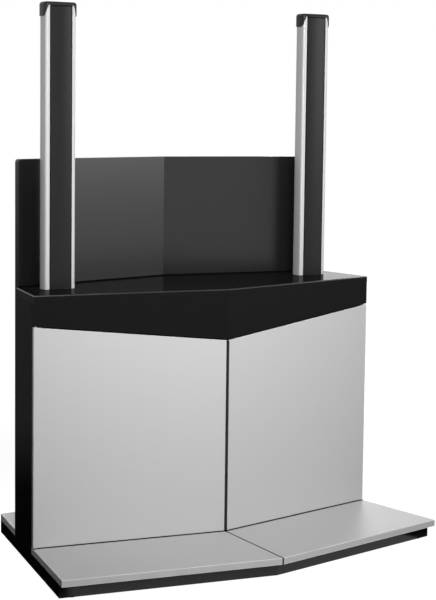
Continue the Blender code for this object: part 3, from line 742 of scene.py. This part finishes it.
def foot_bolts(material):
    """Socket bolts at the corners of each column's foot plate."""
    for label, _ in SIDES:
        low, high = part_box("column_foot_" + label)
        plate = nodes["column_foot_" + label].data
        seat = min(v.co.z for v in plate.vertices if v.co.z > low[2] + FILM)
        bm = bmesh.new()
        for x in (low[0] + BOLT_INSET, high[0] - BOLT_INSET):
            for y in (low[1] + BOLT_INSET, high[1] - BOLT_INSET):
                screw_head(bm, (x, y, seat + FILM), (0, 0, 1), BOLT, hexagon)
        add_piece("foot_bolts_" + label, bm, material, smooth=True)


def latch_screws(material):
    """Screws on the free side of each latch's housing."""
    for label, sign in SIDES:
        low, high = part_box("latch_housing_" + label)
        face = high[0] + FILM if sign > 0 else low[0] - FILM
        level = (low[2] + high[2]) / 2
        bm = bmesh.new()
        for y in (low[1] + LATCH_SCREW_INSET, high[1] - LATCH_SCREW_INSET):
            screw_head(bm, (face, y, level), (sign, 0, 0), LATCH_SCREW, cross)
        add_piece("latch_screws_" + label, bm, material, smooth=True)


def back_screws(material):
    """Screws through each back panel into the side panel's and the top board's rear edges."""
    board_low, board_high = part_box("top_board")
    level = (board_low[2] + board_high[2]) / 2
    for label, sign in SIDES:
        (_, end), (_, rear), _ = extent("back_panel_" + label, sign, -V_ANGLE)
        low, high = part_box("side_panel_" + label)
        last = end - BACK_SCREW_INSET
        spots = [(last, low[2] + (high[2] - low[2]) * share) for share in ROW_UP]
        spots += [(last * share, level) for share in ROW_ALONG]
        axis = (*plan(sign, -V_ANGLE, 0.0, 1.0), 0.0)
        bm = bmesh.new()
        for reach, height in spots:
            place = (*plan(sign, -V_ANGLE, reach, rear + FILM), height)
            screw_head(bm, place, axis, BACK_SCREW, cross)
        add_piece("back_screws_" + label, bm, material, smooth=True)


def add_details():
    top_edge(finish(black_satin), finish(edge_gloss))
    column_caps(finish(black_plastic))
    cover_shadow_strips(finish(black_satin))
    joint_shadow_strips(finish(painted_shade_black))
    head_shadow_strips(finish(painted_shade_black))
    end_bands(finish(black_side))
    # Rubber strips on the doors' meeting edges paint the shade of the gap between them
    door_gap_shadow_strips(finish(rubber))
    door_foot_shadow_strips(finish(shadow_felt))
    foot_bolts(finish(plated_steel))
    latch_screws(finish(plated_steel))
    back_screws(finish(black_oxide))


# Stage: white surroundings, a pale floor that keeps a soft shadow, and soft lamps

WHITE = (1.0, 1.0, 1.0, 1.0)
RIGHT = (1.0, 0.0, 0.0)
FILL_LEFT = 0.02
FILL_RIGHT = 0.42
FLOOR_SIZE = 30.0
FLOOR_PALE = 0.22
FLOOR_ROUGHNESS = 0.9
DIM_SIDE = (0.70, 0.714, 0.0)
DIM_EDGE = (0.30, 0.60)
DIM_STRIP = (0.615, 0.640)
DIM_REACH = (1.2, 1.8)
FAINT_REACH = (1.2, 2.2)
FAINT = 0.08
GLOW = 0.90
GLOW_REACH = (1.6, 3.2)

# Lamps: name, place, target, width and height in metres, watts, spread in degrees
LAMPS = (
    ("key", (-0.9, -2.6, 2.4), (0.06, 0.0, 0.85), (1.4, 1.4), 21.8, 66.0),
    ("side_box", (3.65, -3.6, 2.2), (-0.1, 0.25, 1.4), (2.6, 2.0), 7.6, 44.0),
    ("left_box", (-3.0, -0.8, 2.0), (-0.3, 0.15, 1.35), (0.8, 0.8), 1.2, 40.0),
    ("over_rear", (-0.2, 1.4, 2.6), (-0.4, 0.35, 0.1), (0.6, 0.6), 2.2, 36.0),
    ("rear_box", (2.55, 2.55, 1.2), (0.5, 0.1, 0.7), (1.2, 1.2), 20.0, 180.0),
)


def sight_rays(tree):
    """Sockets that are 1 on the camera's rays, and on rays that see by gloss or through glass."""
    path = tree.nodes.new("ShaderNodeLightPath")
    gloss = joined(tree, "MAXIMUM", path.outputs["Is Glossy Ray"], path.outputs["Is Transmission Ray"])
    return path.outputs["Is Camera Ray"], gloss


def make_world():
    """White where it is seen. Its light on the object grows from the left to the right."""
    world = bpy.data.worlds.new("studio")
    world.use_nodes = True
    tree = world.node_tree
    shader = tree.nodes["Background"]
    shader.inputs["Color"].default_value = WHITE
    direction = tree.nodes.new("ShaderNodeTexCoord").outputs["Generated"]
    fill = ranged(tree, dot_with(tree, direction, RIGHT), -1.0, 1.0, FILL_LEFT, FILL_RIGHT)
    strength = tree.nodes.new("ShaderNodeMapRange")
    strength.inputs["To Max"].default_value = 1.0
    tree.links.new(fill, strength.inputs["To Min"])
    tree.links.new(joined(tree, "MAXIMUM", *sight_rays(tree)), strength.inputs["Value"])
    tree.links.new(strength.outputs["Result"], shader.inputs["Strength"])
    bpy.context.scene.world = world


def floor_light(tree, place, away):
    """Socket with how bright the floor is in gloss: dim beside the object and towards the rear."""
    aside, behind = folded(tree, place)
    corner = tree.nodes.new("ShaderNodeCombineXYZ")
    tree.links.new(aside, corner.inputs["X"])
    tree.links.new(behind, corner.inputs["Y"])
    lit = ranged(tree, dot_with(tree, corner.outputs["Vector"], DIM_SIDE), *DIM_EDGE, 1.0, 0.0)
    inside = ranged(tree, aside, *DIM_STRIP, 1.0, 0.0)
    beyond = ranged(tree, away, *DIM_REACH, 0.0, 1.0)
    faint = ranged(tree, away, *FAINT_REACH, 0.0, FAINT)
    lit = joined(tree, "MULTIPLY", lit, joined(tree, "MAXIMUM", inside, beyond))
    return joined(tree, "MAXIMUM", lit, faint)


def make_floor():
    """Pale floor, white where it is seen, that takes the object's shadow."""
    half = FLOOR_SIZE / 2
    mesh = bpy.data.meshes.new("floor")
    points = [(-half, -half, 0.0), (half, -half, 0.0), (half, half, 0.0), (-half, half, 0.0)]
    mesh.from_pydata(points, [], [(0, 1, 2, 3)])
    material = bpy.data.materials.new("pale_floor")
    material.use_nodes = True
    tree = material.node_tree
    shader = tree.nodes["Principled BSDF"]
    shader.inputs["Roughness"].default_value = FLOOR_ROUGHNESS
    shader.inputs["Specular IOR Level"].default_value = 0.0
    shader.inputs["Emission Color"].default_value = WHITE
    place = tree.nodes.new("ShaderNodeTexCoord").outputs["Object"]
    away = linked(tree, "ShaderNodeVectorMath", "LENGTH", place).outputs["Value"]
    lit = floor_light(tree, place, away)
    straight, gloss = sight_rays(tree)
    seen = joined(tree, "MAXIMUM", straight, joined(tree, "MULTIPLY", gloss, lit))
    unlit = joined(tree, "MULTIPLY", gloss, ranged(tree, lit, 0.0, 1.0, 1.0, 0.0))
    tree.links.new(ranged(tree, unlit, 0.0, 1.0, FLOOR_PALE, 0.0), shader.inputs["Base Color"])
    bright = ranged(tree, away, *GLOW_REACH, GLOW, 1.0)
    tree.links.new(joined(tree, "MULTIPLY", seen, bright), shader.inputs["Emission Strength"])
    mesh.materials.append(material)
    floor = bpy.data.objects.new("floor", mesh)
    bpy.context.scene.collection.objects.link(floor)


def area_lamp(name, place, target, size, power, spread):
    data = bpy.data.lights.new(name, "AREA")
    data.shape = "RECTANGLE"
    data.size, data.size_y = size
    data.energy = power
    data.spread = radians(spread)
    lamp = bpy.data.objects.new(name, data)
    turn = (Vector(target) - Vector(place)).to_track_quat("-Z", "Y").to_matrix().to_4x4()
    lamp.matrix_world = Matrix.Translation(place) @ turn
    bpy.context.scene.collection.objects.link(lamp)


make_camera()
dress_nodes()
add_details()
make_world()
make_floor()
for lamp in LAMPS:
    area_lamp(*lamp)
bpy.context.scene.view_settings.view_transform = "Standard"
